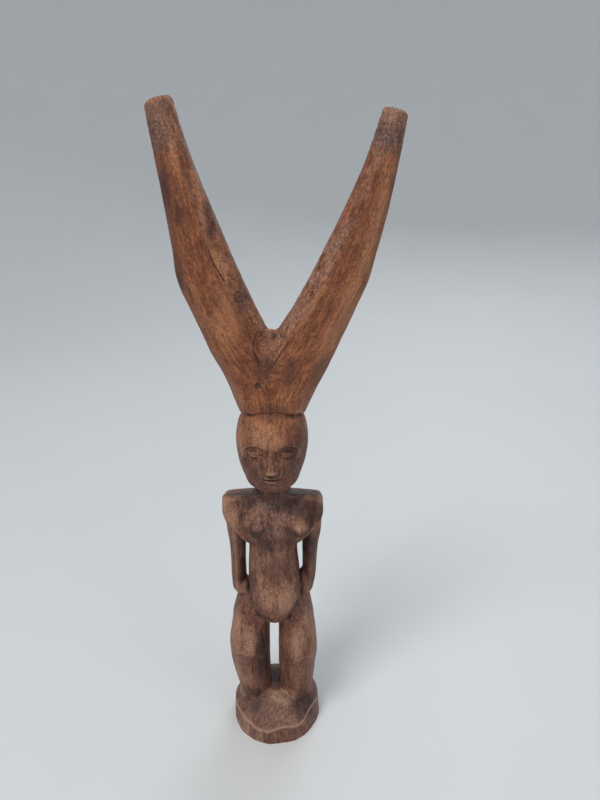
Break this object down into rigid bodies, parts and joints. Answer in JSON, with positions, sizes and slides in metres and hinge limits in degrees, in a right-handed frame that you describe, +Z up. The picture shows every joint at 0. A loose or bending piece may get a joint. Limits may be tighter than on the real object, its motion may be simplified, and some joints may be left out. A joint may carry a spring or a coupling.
{
  "type": "carved wooden slingshot",
  "caption": "Hand-carved wooden slingshot: a standing figure on a round foot is the handle, and a forked branch rises from the top of its head.",
  "frame": {"origin": "middle of the round foot's flat underside", "axes": "+Z up along the figure's height, -Y the way the figure faces, +X the figure's own left"},
  "size_m": [0.0764, 0.0334, 0.2169],
  "materials": {
    "foot_wood": "matt, greyish brown, worn pale along the arrises",
    "figure_wood": "handled reddish brown with dark patina in the hollows",
    "fork_wood": "satin reddish brown with long grain"
  },
  "bodies": {
    "root": {"base": "foot_wood", "right_leg": "figure_wood", "left_leg": "figure_wood", "hips": "figure_wood", "waist": "figure_wood", "chest": "figure_wood", "right_arm": "figure_wood", "left_arm": "figure_wood", "neck": "figure_wood", "head": "figure_wood", "fork_throat": "fork_wood", "right_prong": "fork_wood", "left_prong": "fork_wood"}
  },
  "joints": []
}
